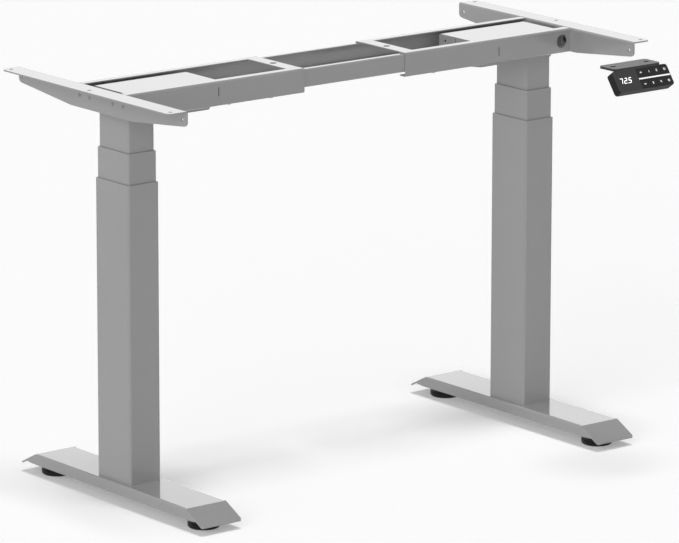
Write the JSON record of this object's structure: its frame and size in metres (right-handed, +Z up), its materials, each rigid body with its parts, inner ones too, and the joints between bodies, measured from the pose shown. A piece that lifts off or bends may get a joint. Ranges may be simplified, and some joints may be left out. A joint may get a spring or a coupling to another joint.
{
  "type": "standing desk frame",
  "caption": "Height-adjustable desk frame with telescopic motorised columns on flat feet, an extending beam, side brackets for a desktop and a keypad handset.",
  "frame": {"origin": "on the floor, at the middle of the whole footprint, the handset's reach included", "axes": "+X along the beam to the user's right, +Y from the user's side to the back, +Z up"},
  "size_m": [1.016, 0.67, 0.7],
  "materials": {
    "grey_paint": "smooth semi-gloss grey powder coat",
    "glide_plastic": "satin black moulded plastic",
    "guide_plastic": "waxy black moulded plastic",
    "screw_steel": "rolled and greased",
    "plain_steel": "phosphated",
    "black_screws": "black zinc",
    "gear_alloy": "die cast",
    "motor_shell": "satin black paint",
    "handset_plate": "satin black",
    "handset_shell": "fine matt grain",
    "handset_gloss": "polished black"
  },
  "bodies": {
    "left_base": {"left_foot": "grey_paint", "left_base_plate": "plain_steel", "left_outer_tube": "grey_paint", "left_outer_bush": "guide_plastic", "left_lower_nut_post": "plain_steel", "left_foot_bolts": "black_screws"},
    "left_mid": {"left_middle_tube": "grey_paint", "left_middle_bush": "guide_plastic", "left_nut_carrier": "plain_steel"},
    "left_top": {"left_inner_tube": "grey_paint", "left_gearbox": "gear_alloy", "left_motor": "motor_shell", "left_motor_box": "grey_paint", "left_front_end_rail": "grey_paint", "left_rear_end_rail": "grey_paint", "left_tie_plate": "grey_paint", "left_rail_screws": "black_screws", "left_side_bracket": "grey_paint", "left_bracket_bolts": "black_screws"},
    "left_upper_screw": {"left_upper_screw": "screw_steel"},
    "left_lower_screw": {"left_lower_screw": "screw_steel"},
    "centre_rails": {"front_centre_rail": "grey_paint", "rear_centre_rail": "grey_paint"},
    "right_top": {"right_inner_tube": "grey_paint", "right_gearbox": "gear_alloy", "right_motor": "motor_shell", "right_motor_box": "grey_paint", "right_front_end_rail": "grey_paint", "right_rear_end_rail": "grey_paint", "right_tie_plate": "grey_paint", "right_rail_screws": "black_screws", "right_side_bracket": "grey_paint", "right_bracket_bolts": "black_screws", "handset_hanger": "handset_plate", "handset_case": "handset_shell", "handset_panel": "handset_gloss"},
    "right_mid": {"right_middle_tube": "grey_paint", "right_middle_bush": "guide_plastic", "right_nut_carrier": "plain_steel"},
    "right_base": {"right_foot": "grey_paint", "right_base_plate": "plain_steel", "right_outer_tube": "grey_paint", "right_outer_bush": "guide_plastic", "right_lower_nut_post": "plain_steel", "right_foot_bolts": "black_screws"},
    "right_upper_screw": {"right_upper_screw": "screw_steel"},
    "right_lower_screw": {"right_lower_screw": "screw_steel"},
    "left_front_glide": {"left_front_glide": "glide_plastic"},
    "left_rear_glide": {"left_rear_glide": "glide_plastic"},
    "right_front_glide": {"right_front_glide": "glide_plastic"},
    "right_rear_glide": {"right_rear_glide": "glide_plastic"},
    "key_up": {"key_up": "handset_gloss"},
    "key_down": {"key_down": "handset_gloss"},
    "key_memory_1": {"key_memory_1": "handset_gloss"},
    "key_memory_2": {"key_memory_2": "handset_gloss"},
    "key_memory_3": {"key_memory_3": "handset_gloss"},
    "key_memory_4": {"key_memory_4": "handset_gloss"},
    "key_save": {"key_save": "handset_gloss"},
    "key_lock": {"key_lock": "handset_gloss"}
  },
  "joints": [
    {"name": "lift", "type": "slide", "parent": "left_base", "child": "left_mid", "axis": [0, 0, 1], "range_m": [-0.05, 0.275]},
    {"name": "left_top_lift", "type": "slide", "parent": "left_mid", "child": "left_top", "axis": [0, 0, 1], "range_m": [-0.05, 0.275]},
    {"name": "width", "type": "slide", "parent": "left_top", "child": "centre_rails", "axis": [1, 0, 0], "range_m": [-0.02, 0.24]},
    {"name": "right_width", "type": "slide", "parent": "centre_rails", "child": "right_top", "axis": [1, 0, 0], "range_m": [-0.02, 0.24]},
    {"name": "right_mid_lift", "type": "slide", "parent": "right_top", "child": "right_mid", "axis": [0, 0, -1], "range_m": [-0.05, 0.275]},
    {"name": "right_base_lift", "type": "slide", "parent": "right_mid", "child": "right_base", "axis": [0, 0, -1], "range_m": [-0.05, 0.275]},
    {"name": "left_upper_screw_turn", "type": "hinge", "parent": "left_top", "child": "left_upper_screw", "pos_m": [-0.42175, 0.07896, 0.4], "axis": [0, 0, 1], "range_deg": [-3010, 16510]},
    {"name": "left_lower_screw_turn", "type": "hinge", "parent": "left_mid", "child": "left_lower_screw", "pos_m": [-0.42175, 0.07896, 0.4], "axis": [0, 0, 1], "range_deg": [-3010, 16510]},
    {"name": "right_upper_screw_turn", "type": "hinge", "parent": "right_top", "child": "right_upper_screw", "pos_m": [0.42175, 0.07896, 0.4], "axis": [0, 0, 1], "range_deg": [-3010, 16510]},
    {"name": "right_lower_screw_turn", "type": "hinge", "parent": "right_mid", "child": "right_lower_screw", "pos_m": [0.42175, 0.07896, 0.4], "axis": [0, 0, 1], "range_deg": [-3010, 16510]},
    {"name": "left_front_glide_level", "type": "slide", "parent": "left_base", "child": "left_front_glide", "axis": [0, 0, -1], "range_m": [0, 0.008]},
    {"name": "left_rear_glide_level", "type": "slide", "parent": "left_base", "child": "left_rear_glide", "axis": [0, 0, -1], "range_m": [0, 0.008]},
    {"name": "right_front_glide_level", "type": "slide", "parent": "right_base", "child": "right_front_glide", "axis": [0, 0, -1], "range_m": [0, 0.008]},
    {"name": "right_rear_glide_level", "type": "slide", "parent": "right_base", "child": "right_rear_glide", "axis": [0, 0, -1], "range_m": [0, 0.008]},
    {"name": "key_up_press", "type": "slide", "parent": "right_top", "child": "key_up", "axis": [0, 0.809, -0.5878], "range_m": [0, 0.0006], "stiffness_N_per_m": 2000, "springref_m": -0.0002},
    {"name": "key_down_press", "type": "slide", "parent": "right_top", "child": "key_down", "axis": [0, 0.809, -0.5878], "range_m": [0, 0.0006], "stiffness_N_per_m": 2000, "springref_m": -0.0002},
    {"name": "key_memory_1_press", "type": "slide", "parent": "right_top", "child": "key_memory_1", "axis": [0, 0.809, -0.5878], "range_m": [0, 0.0006], "stiffness_N_per_m": 2000, "springref_m": -0.0002},
    {"name": "key_memory_2_press", "type": "slide", "parent": "right_top", "child": "key_memory_2", "axis": [0, 0.809, -0.5878], "range_m": [0, 0.0006], "stiffness_N_per_m": 2000, "springref_m": -0.0002},
    {"name": "key_memory_3_press", "type": "slide", "parent": "right_top", "child": "key_memory_3", "axis": [0, 0.809, -0.5878], "range_m": [0, 0.0006], "stiffness_N_per_m": 2000, "springref_m": -0.0002},
    {"name": "key_memory_4_press", "type": "slide", "parent": "right_top", "child": "key_memory_4", "axis": [0, 0.809, -0.5878], "range_m": [0, 0.0006], "stiffness_N_per_m": 2000, "springref_m": -0.0002},
    {"name": "key_save_press", "type": "slide", "parent": "right_top", "child": "key_save", "axis": [0, 0.809, -0.5878], "range_m": [0, 0.0006], "stiffness_N_per_m": 2000, "springref_m": -0.0002},
    {"name": "key_lock_press", "type": "slide", "parent": "right_top", "child": "key_lock", "axis": [0, 0.809, -0.5878], "range_m": [0, 0.0006], "stiffness_N_per_m": 2000, "springref_m": -0.0002}
  ],
  "couplings": [
    {"joint": "left_top_lift", "follows": "lift", "ratio": 1},
    {"joint": "right_width", "follows": "width", "ratio": 1},
    {"joint": "right_mid_lift", "follows": "lift", "ratio": 1},
    {"joint": "right_base_lift", "follows": "lift", "ratio": 1},
    {"joint": "left_upper_screw_turn", "follows": "lift", "rad_per_m": 1047.2},
    {"joint": "left_lower_screw_turn", "follows": "lift", "rad_per_m": 1047.2},
    {"joint": "right_upper_screw_turn", "follows": "lift", "rad_per_m": 1047.2},
    {"joint": "right_lower_screw_turn", "follows": "lift", "rad_per_m": 1047.2}
  ]
}
